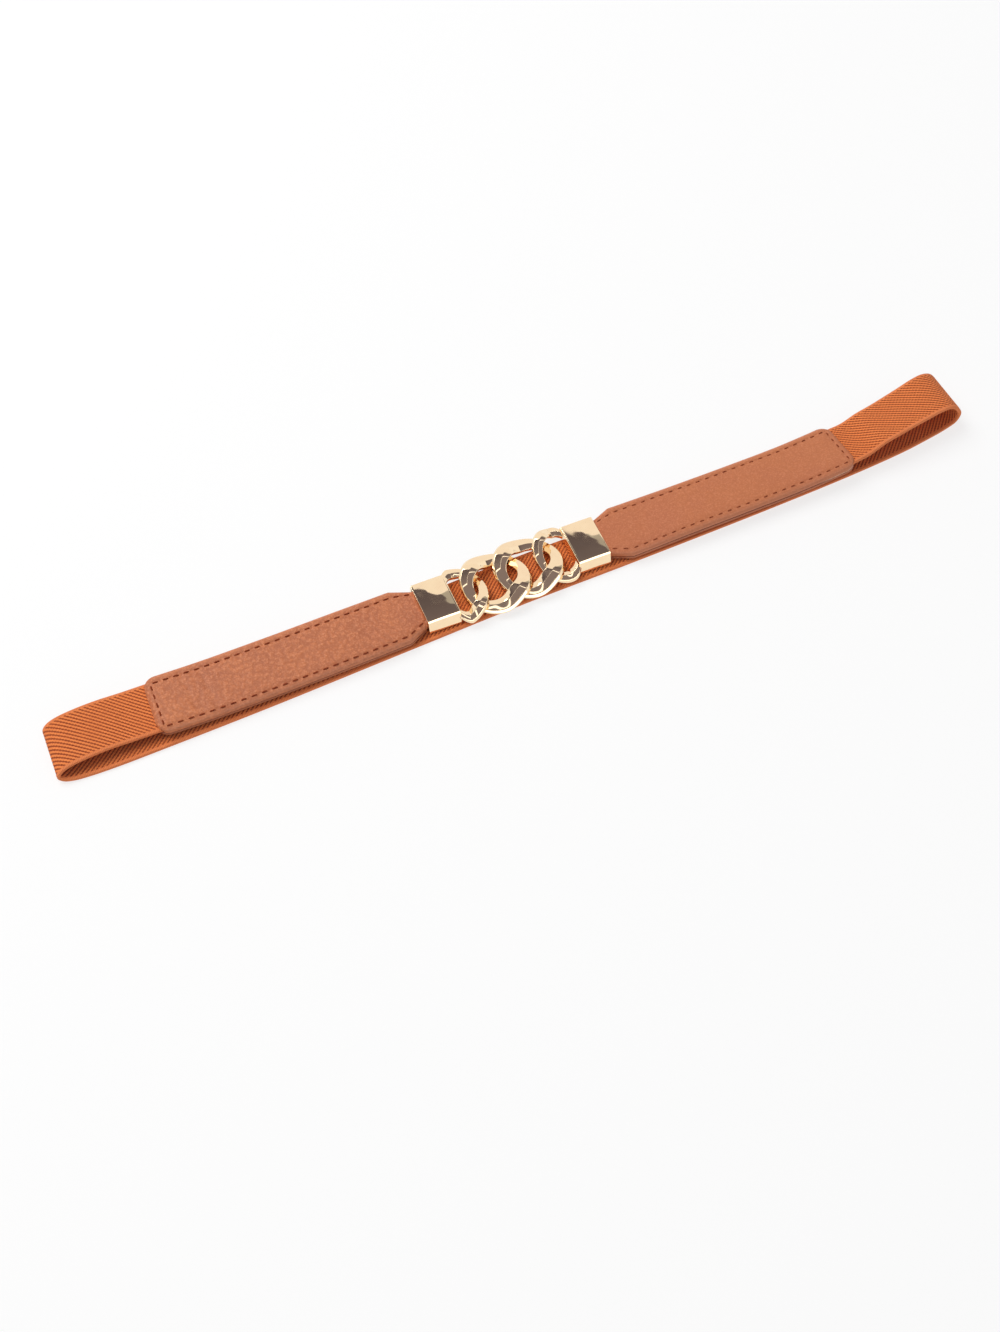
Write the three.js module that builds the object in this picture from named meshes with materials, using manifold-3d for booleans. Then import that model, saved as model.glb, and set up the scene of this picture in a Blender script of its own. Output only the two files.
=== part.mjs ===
// A skinny stretch belt lying folded in half: a woven elastic band, two leather tabs
// sewn round its ends, and a fastened clasp of two flat links between two metal caps.
// Millimetres, +Z up. X runs along the belt, Y across it, and the band lies on Z = 0.
import * as THREE from 'three';
import { mergeVertices } from 'three/addons/utils/BufferGeometryUtils.js';
import Module from 'manifold-3d';

const wasm = await Module();
wasm.setup();

// Elastic band
const bandWidth = 19.6;
const bandThick = 1.5;
const selvage = 0.35; // rounding of the band's woven edges

// Leather tabs
const tabLength = 100; // from the cap's mouth to the rounded end
const tabMargin = 1.35; // leather beside the band on each side
const tabWidth = bandWidth + 2 * tabMargin;
const frontLeather = 1.3;
const backLeather = 1.0;
const tabCorner = 4.5; // corner radius at the outer end
const edgeRound = 0.35; // rounding of the leather's cut edges
const tabCrown = 1.15; // drop of the front leather over its turned edge
const crownWidth = 3.2; // width of that turned edge
const noseLength = 7.6; // the tapered stretch beside the cap
const noseInset = 0.95; // step from the cap's side to the taper's end
const noseWall = 1.5; // leather left between the taper and the band's tucked end

// Clearance between pieces that touch on the real belt
const seat = 0.3;

// Metal caps
const capLength = 12.5;
const capInset = 1; // the cap is this much narrower than the band on each side
const capWidth = bandWidth - 2 * capInset;
const noseWidth = capWidth - 2 * noseInset; // of the leather at the cap's mouth
const capRoof = 1.25; // metal over the tongue
const capFloor = 1.15; // metal under it
const capBevel = 0.5;
const capFlare = 1.0; // lean of the side walls, outwards towards the bottom
const capSideWall = 1.1;
const capEndWall = 2.0;
const capYaw = -2.2; // degrees: both caps lie slightly turned on the band
const tongueShave = 0.15; // leather skived off each face of the tongue inside the cap

// Links of the clasp
const linkThick = 2.3; // height of the link's section
const linkBand = 4.6; // mean width of a full link's section
const bowBand = 3.4; // mean width of a half link's section
const linkSwell = 0.16; // share by which a link is wider where it passes on top
const linkFull = 0.4; // share by which it is wider at its far and near ends
const linkHalfLength = 13.1; // half the outer length of a full link, along the belt
const linkHalfWidth = 13.2; // half its outer width, across the belt
const linkPass = 1.1; // clear height where one link passes over another
const linkDrop = 1.2; // how far those two ends hang down towards the band
const linkPitch = 13.6; // between the centres of neighbouring links
const linkSteps = 40;
// Where the full links have come to rest. along: share of the link pitch from the
// clasp's middle, across: share of a link's half width
const fullLinks = [
  { name: 'clasp_link_left', along: -0.475, across: -0.04 },
  { name: 'clasp_link_right', along: 0.525, across: 0.03 },
];
const bowLength = 10.3; // reach of the half link from its widest point
const bowHalf = 12.5; // half the outer width of the half link
const bowReach = 3.1; // from the cap's face to the half link's widest point
const bowSteps = 20;

// Folded loops beyond the tabs
const leftLoopLength = 37;
const leftLoopHeight = 7.2;
const leftTabLift = 0.8; // how far the stiff tab is lifted at its outer end
const rightLoopLength = 49.5;
const rightLoopHeight = 13.2;
const rightTabLift = 1.5;
const stepsPerRow = 4;

// Heights that follow from the layers
const restZ = bandThick + seat; // underside of what lies on the lower run
const coreZ = restZ + backLeather + seat + bandThick / 2; // middle of the band in a tab
const linkWeave = (linkThick + linkPass) / 2; // rise and fall of a link on its way round
const linkZ = restZ + linkThick / 2 + linkWeave;
const capSpan = 3 * linkPitch + 2 * bowReach + capLength; // between the caps' centres
const mouthX = capSpan / 2 + capLength / 2 + seat;
const tabEndX = mouthX + tabLength;

// The band's middle line. Each side starts at the cap's mouth and goes outwards.
// along: share of the tab, drift: share of the band's width, lift: share of the tab's lift
const leftTab = [
  { along: 0, drift: -0.012, lift: 0, yaw: capYaw, bank: 0 },
  { along: 0.1, drift: -0.012, lift: 0, yaw: -1.2, bank: 0.8 },
  { along: 0.3, drift: -0.008, lift: 0, yaw: -0.6, bank: 2.6 },
  { along: 0.55, drift: 0.012, lift: 0.04, yaw: -1.2, bank: 3 },
  { along: 0.8, drift: 0.048, lift: 0.3, yaw: -2.6, bank: 3 },
  { along: 1, drift: 0.095, lift: 1, yaw: -4.2, bank: 3 },
];
const rightTab = [
  { along: 0, drift: -0.018, lift: 0, yaw: capYaw, bank: 0 },
  { along: 0.1, drift: -0.045, lift: 0, yaw: -1.8, bank: -1.2 },
  { along: 0.3, drift: -0.09, lift: 0, yaw: -1.2, bank: -4.8 },
  { along: 0.55, drift: -0.125, lift: 0.04, yaw: -0.6, bank: -5.8 },
  { along: 0.8, drift: -0.15, lift: 0.3, yaw: 0, bank: -6.2 },
  { along: 1, drift: -0.138, lift: 1, yaw: 1.2, bank: -7.2 },
];
// out: share of the loop's length, rise: share of its inner height
const leftLoop = [
  { out: 0.22, drift: 0.11, rise: 0.82, yaw: -4.2, bank: 3 },
  { out: 0.48, drift: 0.12, rise: 0.94, yaw: -4.0, bank: 3.4 },
  { out: 0.72, drift: 0.11, rise: 0.97, yaw: -4.0, bank: 4 },
  { out: 0.88, drift: 0.09, rise: 0.9, yaw: -4.0, bank: 4.5 },
  { out: 0.965, drift: 0.065, rise: 0.72, yaw: -4.0, bank: 4.5 },
  { out: 1, drift: 0.03, rise: 0.44, yaw: -4.0, bank: 3.5 },
  { out: 0.965, drift: -0.01, rise: 0.19, yaw: -3.4, bank: 2 },
  { out: 0.88, drift: -0.05, rise: 0.05, yaw: -2.4, bank: 0.4 },
  { out: 0.72, drift: -0.085, rise: 0, yaw: -1.2, bank: 0 },
  { out: 0.48, drift: -0.11, rise: 0, yaw: -0.6, bank: 0 },
];
const rightLoop = [
  { out: 0.12, drift: -0.12, rise: 0.54, yaw: 2.8, bank: -9.5 },
  { out: 0.26, drift: -0.09, rise: 0.73, yaw: 4.2, bank: -11 },
  { out: 0.4, drift: -0.055, rise: 0.79, yaw: 4.6, bank: -11 },
  { out: 0.54, drift: -0.02, rise: 0.87, yaw: 4.6, bank: -10 },
  { out: 0.66, drift: 0.01, rise: 0.93, yaw: 4.4, bank: -8 },
  { out: 0.77, drift: 0.035, rise: 1.0, yaw: 4.0, bank: -5 },
  { out: 0.87, drift: 0.055, rise: 0.98, yaw: 3.0, bank: -3 },
  { out: 0.95, drift: 0.065, rise: 0.78, yaw: 1.0, bank: -1 },
  { out: 1, drift: 0.07, rise: 0.41, yaw: 0.0, bank: 0 },
  { out: 0.97, drift: 0.055, rise: 0.155, yaw: 1.0, bank: 0 },
  { out: 0.87, drift: 0.03, rise: 0.03, yaw: 2.4, bank: 0 },
  { out: 0.72, drift: -0.015, rise: 0, yaw: 3.0, bank: 0 },
  { out: 0.48, drift: -0.08, rise: 0, yaw: 2.4, bank: 0 },
];
// The lower run lies flat. along: share of the way from one tab's end to the other's
const lowerRun = [
  { along: 0.0, drift: -0.125, yaw: -0.3 },
  { along: 0.14, drift: -0.138, yaw: 0.2 },
  { along: 0.34, drift: -0.115, yaw: 0.4 },
  { along: 0.5, drift: -0.1, yaw: 0 },
  { along: 0.66, drift: -0.135, yaw: -0.6 },
  { along: 0.86, drift: -0.155, yaw: 0 },
  { along: 1.0, drift: -0.135, yaw: 1.2 },
];

const radians = THREE.MathUtils.degToRad;
// A tab that leans stands on its low edge.
const tabRow = (sign, lift) => (r) => ({
  x: sign * (mouthX + r.along * tabLength),
  y: r.drift * bandWidth,
  z: coreZ + r.lift * lift + (Math.abs(Math.sin(radians(r.bank))) * tabWidth) / 2,
  yaw: r.yaw,
  bank: r.bank,
});
const loopRow = (sign, length, height) => (r) => ({
  x: sign * (tabEndX + r.out * (length - bandThick / 2)),
  y: r.drift * bandWidth,
  z: bandThick / 2 + r.rise * (height - bandThick),
  yaw: r.yaw,
  bank: r.bank,
});
const lowerRow = (r) => ({
  x: tabEndX * (2 * r.along - 1),
  y: r.drift * bandWidth,
  z: bandThick / 2,
  yaw: r.yaw,
  bank: 0,
});

const rows = [
  ...leftTab.map(tabRow(-1, leftTabLift)),
  ...leftLoop.map(loopRow(-1, leftLoopLength, leftLoopHeight)),
  ...lowerRun.map(lowerRow),
  ...rightLoop.map(loopRow(1, rightLoopLength, rightLoopHeight)).reverse(),
  ...rightTab.map(tabRow(1, rightTabLift)).reverse(),
];
const lastRow = rows.length - 1;
const middle = new THREE.CatmullRomCurve3(
  rows.map((r) => new THREE.Vector3(r.x, r.y, r.z)),
);

// The band's middle, its width direction and its upper face, at a row number t.
function frameAt(t) {
  const k = Math.min(Math.floor(t), lastRow - 1);
  const yaw = radians(THREE.MathUtils.lerp(rows[k].yaw, rows[k + 1].yaw, t - k));
  const bank = radians(THREE.MathUtils.lerp(rows[k].bank, rows[k + 1].bank, t - k));
  const across = new THREE.Vector3(
    -Math.sin(yaw) * Math.cos(bank),
    Math.cos(yaw) * Math.cos(bank),
    Math.sin(bank),
  );
  const centre = middle.getPoint(t / lastRow);
  centre.z = Math.max(centre.z, bandThick / 2);
  const face = new THREE.Vector3()
    .crossVectors(across, middle.getTangent(t / lastRow))
    .normalize();
  return { centre, across, face };
}

// The row number reached by going a distance along the band from a row number.
function walk(from, distance, direction) {
  const stride = 0.01;
  let t = from;
  let gone = 0;
  let here = frameAt(t).centre;
  while (gone < distance) {
    const next = frameAt(t + direction * stride).centre;
    gone += next.distanceTo(here);
    here = next;
    t += direction * stride;
  }
  return t;
}

// A closed body from rings of equal length; the ends are closed, or the last ring
// joins the first one.
function loft(rings, section, ring = false) {
  const n = section.length;
  const positions = rings.flat().flatMap((p) => [p.x, p.y, p.z]);
  const index = [];
  const spans = ring ? rings.length : rings.length - 1;
  for (let i = 0; i < spans; i++) {
    const a = i * n;
    const b = ((i + 1) % rings.length) * n;
    for (let j = 0; j < n; j++) {
      const k = (j + 1) % n;
      index.push(a + j, a + k, b + j, b + j, a + k, b + k);
    }
  }
  if (!ring) {
    const end = (rings.length - 1) * n;
    for (const [p, q, r] of THREE.ShapeUtils.triangulateShape(section, [])) {
      index.push(p, r, q, end + p, end + q, end + r);
    }
  }
  const geometry = new THREE.BufferGeometry();
  geometry.setAttribute('position', new THREE.Float32BufferAttribute(positions, 3));
  geometry.setIndex(index);
  return volume(geometry) < 0 ? flipped(geometry) : geometry;
}

function volume(geometry) {
  const p = geometry.attributes.position;
  const [a, b, c] = [new THREE.Vector3(), new THREE.Vector3(), new THREE.Vector3()];
  let sum = 0;
  for (let i = 0; i < geometry.index.count; i += 3) {
    a.fromBufferAttribute(p, geometry.index.getX(i));
    b.fromBufferAttribute(p, geometry.index.getX(i + 1));
    c.fromBufferAttribute(p, geometry.index.getX(i + 2));
    sum += a.dot(b.cross(c)) / 6;
  }
  return sum;
}

function flipped(geometry) {
  const index = Array.from(geometry.index.array);
  for (let i = 0; i < index.length; i += 3) {
    [index[i], index[i + 1]] = [index[i + 1], index[i]];
  }
  geometry.setIndex(index);
  return geometry;
}

function solid(geometry) {
  const bare = geometry.clone();
  bare.deleteAttribute('normal');
  bare.deleteAttribute('uv');
  const merged = mergeVertices(bare, 1e-4);
  return new wasm.Manifold(
    new wasm.Mesh({
      numProp: 3,
      vertProperties: new Float32Array(merged.attributes.position.array),
      triVerts: new Uint32Array(merged.index.array),
    }),
  );
}

function fromSolid(body) {
  const { vertProperties, triVerts } = body.getMesh();
  const geometry = new THREE.BufferGeometry();
  geometry.setAttribute('position', new THREE.BufferAttribute(vertProperties, 3));
  geometry.setIndex(new THREE.BufferAttribute(triVerts, 1));
  return geometry;
}

// A section point (across, up) placed on the band's frame.
const onFrame = (f, p) =>
  f.centre.clone().addScaledVector(f.across, p.x).addScaledVector(f.face, p.y);
const points = (pairs) => pairs.map(([x, y]) => new THREE.Vector2(x, y));
const mirrored = (pairs) => [
  ...pairs,
  ...pairs.map(([x, y]) => [-x, y]).reverse(),
];

// The elastic band, from its tucked end in one tab round to the other.
const tuck = noseLength + noseWall + seat;
function bandGeometry() {
  const half = bandWidth / 2;
  const top = bandThick / 2;
  const section = points(
    mirrored([
      [half - selvage, -top],
      [half, -top + selvage],
      [half, top - selvage],
      [half - selvage, top],
    ]),
  );
  const start = walk(0, tuck, 1);
  const end = walk(lastRow, tuck, -1);
  const stops = [start];
  for (let i = 1; i < lastRow * stepsPerRow; i++) {
    const t = i / stepsPerRow;
    if (t > start + 0.1 && t < end - 0.1) stops.push(t);
  }
  stops.push(end);
  return loft(
    stops.map((t) => section.map((p) => onFrame(frameAt(t), p))),
    section,
  );
}

// Half the tab's width at a distance from the cap's mouth.
function tabHalf(distance) {
  const full = tabWidth / 2;
  if (distance < noseLength) {
    return THREE.MathUtils.lerp(noseWidth / 2, full, distance / noseLength);
  }
  const past = distance - (tabLength - tabCorner);
  if (past <= 0) return full;
  return full - tabCorner + Math.sqrt(Math.max(tabCorner ** 2 - past ** 2, 0));
}

// Distances from the mouth at which the tab has a section.
function tabStops() {
  const stops = [0, noseLength];
  const straight = tabLength - tabCorner;
  const count = 14;
  for (let i = 1; i <= count; i++) {
    stops.push(noseLength + ((straight - noseLength) * i) / count);
  }
  for (const turn of [22.5, 45, 67.5, 90]) {
    stops.push(straight + tabCorner * Math.sin(radians(turn)));
  }
  return stops;
}

// A piece of the tab: profile gives the section's pairs for each half width.
function tabPiece(side, profile) {
  const section = points(profile(tabWidth / 2));
  const rings = tabStops().map((distance) => {
    const f = frameAt(walk(side.row, distance, side.direction));
    return points(profile(tabHalf(distance))).map((p) => onFrame(f, p));
  });
  return loft(rings, section);
}

// The cap's frame: x runs outwards from the clasp, z is the height over the floor.
function capMatrix(side) {
  const turn = radians(side.sign > 0 ? capYaw : capYaw + 180);
  return new THREE.Matrix4()
    .makeTranslation((side.sign * capSpan) / 2, 0, 0)
    .multiply(new THREE.Matrix4().makeRotationZ(turn));
}

// Heights over and under the band's middle.
const frontTop = bandThick / 2 + seat + frontLeather;
const rimBottom = -bandThick / 2;
const backTop = rimBottom - seat;
const frontProfile = (half) =>
  mirrored([
    [half - edgeRound, rimBottom],
    [half, rimBottom + edgeRound],
    [half, frontTop - tabCrown],
    [half - crownWidth * 0.2, frontTop - tabCrown * 0.4],
    [half - crownWidth * 0.5, frontTop - tabCrown * 0.12],
    [half - crownWidth, frontTop],
  ]);
const backProfile = (half) =>
  mirrored([
    [half - edgeRound, backTop - backLeather],
    [half, backTop - backLeather + edgeRound],
    [half, backTop],
  ]);

const tongueLength = capLength - capEndWall;
const tongueWidth = capWidth - 2 * capSideWall - 2 * seat;
const tongueLow = coreZ + rimBottom + tongueShave;
const tongueHigh = coreZ + frontTop - tongueShave;
const capLow = tongueLow - seat - capFloor;
const capHigh = tongueHigh + seat + capRoof;

// The front leather: a shallow tray over the band, and a tongue inside the cap.
function frontGeometry(side) {
  const channel = points([
    [-bandWidth / 2 - seat, backTop],
    [bandWidth / 2 + seat, backTop],
    [bandWidth / 2 + seat, bandThick / 2 + seat],
    [-bandWidth / 2 - seat, bandThick / 2 + seat],
  ]);
  const stops = [noseLength + noseWall];
  for (const d of tabStops()) if (d > stops[0] + 1) stops.push(d);
  stops.push(tabLength + frontLeather); // the channel is open at the outer end
  const rings = stops.map((distance) => {
    const f = frameAt(walk(side.row, distance, side.direction));
    return channel.map((p) => onFrame(f, p));
  });
  const tongue = new THREE.BoxGeometry(
    tongueLength + noseWall,
    tongueWidth,
    tongueHigh - tongueLow,
  );
  const inner = capLength / 2 + seat - tongueLength;
  tongue.translate(
    inner + (tongueLength + noseWall) / 2,
    0,
    (tongueHigh + tongueLow) / 2,
  );
  tongue.applyMatrix4(capMatrix(side));
  return fromSolid(
    solid(tabPiece(side, frontProfile))
      .subtract(solid(loft(rings, channel)))
      .add(solid(tongue)),
  );
}

// The link's section in shares of its width and height: x outwards, y up. A high inner
// ridge, a face falling outwards, and a thin lower edge.
const linkSection = points([
  [-0.42, -0.5],
  [0.33, -0.5],
  [0.5, -0.12],
  [0.36, 0.3],
  [-0.2, 0.5],
  [-0.5, 0.36],
]);

// One ring of points on an oval of the given outer half sizes, at an angle in radians.
// The outer edge keeps to the oval, so a wider section reaches further inwards.
function linkRing(centre, halfX, halfY, band, angle) {
  const c = Math.cos(angle);
  const s = Math.sin(angle);
  const out = new THREE.Vector2(c / halfX, s / halfY).normalize();
  const over = -Math.sin(2 * angle); // 1 where the link passes on top, -1 underneath
  const width = band * (1 + linkSwell * over + linkFull * s * s);
  const rise = linkWeave * over - linkDrop * s * s * (1 - over * over);
  return linkSection.map((p) => {
    const reach = (p.x - 0.5) * width;
    return new THREE.Vector3(
      centre.x + c * halfX + out.x * reach,
      centre.y + s * halfY + out.y * reach,
      centre.z + rise + p.y * linkThick,
    );
  });
}

function linkGeometry(r) {
  const centre = new THREE.Vector3(r.along * linkPitch, r.across * linkHalfWidth, linkZ);
  const rings = [];
  for (let i = 0; i < linkSteps; i++) {
    const angle = (2 * Math.PI * i) / linkSteps;
    rings.push(linkRing(centre, linkHalfLength, linkHalfWidth, linkBand, angle));
  }
  return loft(rings, linkSection, true);
}

// The half link cast with the cap: it bows out of the cap's face and back into it.
function bowGeometry() {
  const centre = new THREE.Vector3(-capLength / 2 - bowReach, 0, linkZ);
  const rings = [];
  for (let i = 0; i <= bowSteps; i++) {
    const angle = Math.PI * (0.5 + i / bowSteps);
    rings.push(linkRing(centre, bowLength, bowHalf, bowBand, angle));
  }
  // Each arm turns in and ends inside the cap's end wall.
  const armBand = bowBand * (1 + linkFull);
  const arm = (share, sign) => {
    const x = centre.x + share * (bowReach + capEndWall / 2);
    const edge = THREE.MathUtils.lerp(bowHalf, capWidth / 2, share ** 2);
    const z = THREE.MathUtils.lerp(linkZ - linkDrop, (capLow + capHigh) / 2, share);
    return linkSection.map(
      (p) =>
        new THREE.Vector3(x, sign * (edge + (p.x - 0.5) * armBand), z + p.y * linkThick),
    );
  };
  const shares = [0.5, 0.8, 1];
  for (const share of shares) rings.unshift(arm(share, 1));
  for (const share of shares) rings.push(arm(share, -1));
  return loft(rings, linkSection);
}

function capGeometry(side) {
  const half = capWidth / 2;
  const outline = new THREE.Shape(
    points([
      [-half - capFlare, capLow],
      [half + capFlare, capLow],
      [half, capHigh - capBevel],
      [half - capBevel, capHigh],
      [-half + capBevel, capHigh],
      [-half, capHigh - capBevel],
    ]),
  );
  const block = new THREE.ExtrudeGeometry(outline, {
    depth: capLength,
    bevelEnabled: false,
  });
  // The outline's (x, y) become (Y, Z), and the depth runs along X.
  block.rotateX(Math.PI / 2);
  block.rotateZ(Math.PI / 2);
  block.translate(-capLength / 2, 0, 0);
  const slot = new THREE.BoxGeometry(
    capLength,
    tongueWidth + 2 * seat,
    tongueHigh - tongueLow + 2 * seat,
  );
  slot.translate(capEndWall, 0, (tongueHigh + tongueLow) / 2);
  const body = solid(block).subtract(solid(slot)).add(solid(bowGeometry()));
  return fromSolid(body).applyMatrix4(capMatrix(side));
}

const left = { sign: -1, row: 0, direction: 1 };
const right = { sign: 1, row: lastRow, direction: -1 };

const look = (color, roughness, metalness) =>
  new THREE.MeshStandardMaterial({ color, roughness, metalness });
const elastic = look(0xc8703f, 0.9, 0);
const leather = look(0xb9714e, 0.6, 0);
const metal = look(0xf0d2ab, 0.12, 1);

const belt = new THREE.Group();
function add(name, geometry, material) {
  const mesh = new THREE.Mesh(geometry, material);
  mesh.name = name;
  belt.add(mesh);
}
add('elastic_band', bandGeometry(), elastic);
add('tab_front_left', frontGeometry(left), leather);
add('tab_back_left', tabPiece(left, backProfile), leather);
add('tab_front_right', frontGeometry(right), leather);
add('tab_back_right', tabPiece(right, backProfile), leather);
add('clasp_cap_left', capGeometry(left), metal);
add('clasp_cap_right', capGeometry(right), metal);
for (const r of fullLinks) add(r.name, linkGeometry(r), metal);

// The origin lies on the floor under the middle of the whole belt.
const bounds = new THREE.Box3().setFromObject(belt, true);
const middleOf = bounds.getCenter(new THREE.Vector3());
belt.position.set(-middleOf.x, -middleOf.y, -bounds.min.z);

export default belt;
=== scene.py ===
# %% [markdown]
# # A skinny stretch belt, folded in half on a white table
#
# The belt is one woven elastic band, about 20 mm wide. Each end of the band is sewn
# between two strips of leather, and each leather tab slides into a metal cap. Two flat
# links, hooked through half links on the caps, close the belt.
#
# The frame is a plain model whose pieces already have the right size and place. Loading
# it first gives every later piece a place to be set in. All lengths below
# are written in millimetres and turned into Blender's metres by one factor.

# %% Load the frame
import math

import bpy
import numpy as np
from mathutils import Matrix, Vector


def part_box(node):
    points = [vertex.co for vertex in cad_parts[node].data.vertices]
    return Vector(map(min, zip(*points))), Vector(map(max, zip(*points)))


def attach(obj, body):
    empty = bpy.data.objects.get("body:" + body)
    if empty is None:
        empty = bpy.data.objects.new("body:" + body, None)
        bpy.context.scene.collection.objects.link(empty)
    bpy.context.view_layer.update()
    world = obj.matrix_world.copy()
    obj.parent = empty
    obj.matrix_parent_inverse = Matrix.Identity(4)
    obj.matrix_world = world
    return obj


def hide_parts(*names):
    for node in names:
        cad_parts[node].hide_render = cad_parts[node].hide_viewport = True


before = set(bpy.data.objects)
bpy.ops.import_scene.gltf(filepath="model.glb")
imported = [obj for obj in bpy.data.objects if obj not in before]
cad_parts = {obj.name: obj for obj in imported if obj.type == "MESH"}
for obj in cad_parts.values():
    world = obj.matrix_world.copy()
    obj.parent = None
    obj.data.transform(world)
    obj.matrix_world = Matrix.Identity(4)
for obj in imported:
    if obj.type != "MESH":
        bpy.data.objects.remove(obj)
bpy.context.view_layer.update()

mm = 0.001


# %% [markdown]
# ## The camera
#
# The photograph looks down at the belt from the near left, 58 degrees above the table.
# Where a camera stands and what it looks at are easier to read than three angles, so
# its turn is worked out from the two points. A 50 mm lens on a 36 mm long side gives
# the photograph's slight perspective.


# %% Aim an object
def aimed(name, data, stands, looks_at):
    """An object of the scene that stands at one point and looks at another."""
    made = bpy.data.objects.new(name, data)
    made.location = stands
    made.rotation_mode = "QUATERNION"
    made.rotation_quaternion = (looks_at - stands).to_track_quat("-Z", "Y")
    bpy.context.scene.collection.objects.link(made)
    return made


# %% Camera
camera_stands = Vector((-172.4, -339.3, 552.7)) * mm
camera_looks_at = Vector((-25.25, -30.9, 0)) * mm

camera_data = bpy.data.cameras.new("camera")
camera_data.lens = 50.0
camera_data.sensor_width = 36.0
camera_data.clip_start = 0.01
camera_data.clip_end = 20.0
camera = aimed("camera", camera_data, camera_stands, camera_looks_at)
bpy.context.scene.camera = camera
print("camera is", round((camera_stands - camera_looks_at).length / mm), "mm from its target")

# %% [markdown]
# ## Short names for shader nodes
#
# A material is a tree of nodes. Adding each node by hand takes three or four lines, and
# that hides the recipe. This small class keeps one material's tree and has one short
# call for each kind of node, so that the recipes below read like arithmetic. A value may
# be a plain number or the output of another node.


# %% Material helper
class Finish:
    def __init__(self, name):
        self.material = bpy.data.materials.new(name)
        self.material.use_nodes = True
        self.tree = self.material.node_tree
        self.surface = self.tree.nodes["Principled BSDF"]

    def put(self, socket, value):
        if isinstance(value, bpy.types.NodeSocket):
            self.tree.links.new(value, socket)
        elif value is not None:
            socket.default_value = value

    def node(self, kind, *inputs, **settings):
        made = self.tree.nodes.new(kind)
        for name, value in settings.items():
            setattr(made, name, value)
        for place, value in enumerate(inputs):
            self.put(made.inputs[place], value)
        return made

    def fill(self, made, output, **inputs):
        """Sets a node's inputs by name and gives one of its outputs."""
        for name, value in inputs.items():
            self.put(made.inputs[name], value)
        return made.outputs[output]

    def math(self, operation, a, b=None, c=None):
        return self.node("ShaderNodeMath", a, b, c, operation=operation).outputs[0]

    def wave(self, value):
        """0 at whole numbers and 1 half way between them."""
        turned = self.math("MULTIPLY", value, 2 * math.pi)
        return self.math("MULTIPLY_ADD", self.math("COSINE", turned), -0.5, 0.5)

    def step(self, value, low, high, out_low=0.0, out_high=1.0):
        made = self.node("ShaderNodeMapRange", value, low, high, out_low, out_high)
        made.interpolation_type = "SMOOTHSTEP"
        return made.outputs[0]

    def mix(self, factor, a, b):
        made = self.node("ShaderNodeMix", data_type="RGBA")
        self.put(made.inputs["Factor"], factor)
        self.put(made.inputs[6], a)
        self.put(made.inputs[7], b)
        return made.outputs[2]

    def blend(self, factor, a, b):
        """Like mix, for plain numbers."""
        made = self.node("ShaderNodeMix")
        self.put(made.inputs[0], factor)
        self.put(made.inputs[2], a)
        self.put(made.inputs[3], b)
        return made.outputs[0]

    def noise(self, vector, scale, detail=2.0, roughness=0.5, output="Fac"):
        made = self.node("ShaderNodeTexNoise")
        return self.fill(made, output, Vector=vector, Scale=scale, Detail=detail, Roughness=roughness)

    def bump(self, height, distance, normal=None):
        made = self.node("ShaderNodeBump")
        return self.fill(made, "Normal", Height=height, Distance=distance, Strength=1.0, Normal=normal)

    def along_across(self):
        """The UV map as two numbers in millimetres: along the belt and across it."""
        split = self.node("ShaderNodeSeparateXYZ", self.node("ShaderNodeUVMap").outputs[0])
        along = self.math("MULTIPLY", split.outputs[0], UV_MM)
        across = self.math("MULTIPLY", split.outputs[1], UV_MM)
        return along, across

    def finish(self, **sockets):
        names = {"color": "Base Color", "specular": "Specular IOR Level"}
        for name, value in sockets.items():
            title = names.get(name, name.replace("_", " ").title())
            self.put(self.surface.inputs[title], value)
        return self.material


UV_MM = 100.0  # one unit of the UV map is 100 mm of belt


def srgb(red, green, blue):
    """A colour as seen on a screen, 0 to 255, turned into Blender's linear light."""
    shares = [v / 255 for v in (red, green, blue)]
    light = [v / 12.92 if v <= 0.04045 else ((v + 0.055) / 1.055) ** 2.4 for v in shares]
    return (*light, 1.0)


print("linear mid orange:", [round(v, 3) for v in srgb(205, 115, 68)])

# %% [markdown]
# ## Table and light
#
# The photograph was taken on a white table in very even light, so the shadows are faint.
# An area lamp overhead gives the forms a direction, and a bright sky fills the rest. A
# white plane lit like this would show deep shadows. A duller plane that also glows by
# itself keeps the photograph's near white, and only a part of it can fall into shadow.

# %% Table
TABLE_GLOW = 0.75
TABLE_WHITE = (0.24, 0.24, 0.24, 1.0)

paper = Finish("white_table")
paper.finish(
    color=TABLE_WHITE,
    roughness=0.9,
    emission_color=(1.0, 1.0, 1.0, 1.0),
    emission_strength=TABLE_GLOW,
    specular=0.0,
)
bpy.ops.mesh.primitive_plane_add(size=6.0, location=(0, 0, -0.02 * mm))
table = bpy.context.object
table.name = "table"
table.data.materials.append(paper.material)

# %% Sky and lamp
SKY_STRENGTH = 0.43
world = bpy.data.worlds.new("studio")
world.use_nodes = True
background = world.node_tree.nodes["Background"]
background.inputs["Color"].default_value = (1.0, 1.0, 1.0, 1.0)
background.inputs["Strength"].default_value = SKY_STRENGTH
bpy.context.scene.world = world
bpy.context.scene.view_settings.view_transform = "Standard"

lamp_data = bpy.data.lights.new("main_lamp", "AREA")
lamp_data.shape = "DISK"
lamp_data.size = 1.1
lamp_data.energy = 16.5
aimed("main_lamp", lamp_data, Vector((-0.48, 0.65, 1.3)), Vector((0, 0, 0)))
print("sky strength", SKY_STRENGTH, "and one lamp of", lamp_data.energy, "W")

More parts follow.
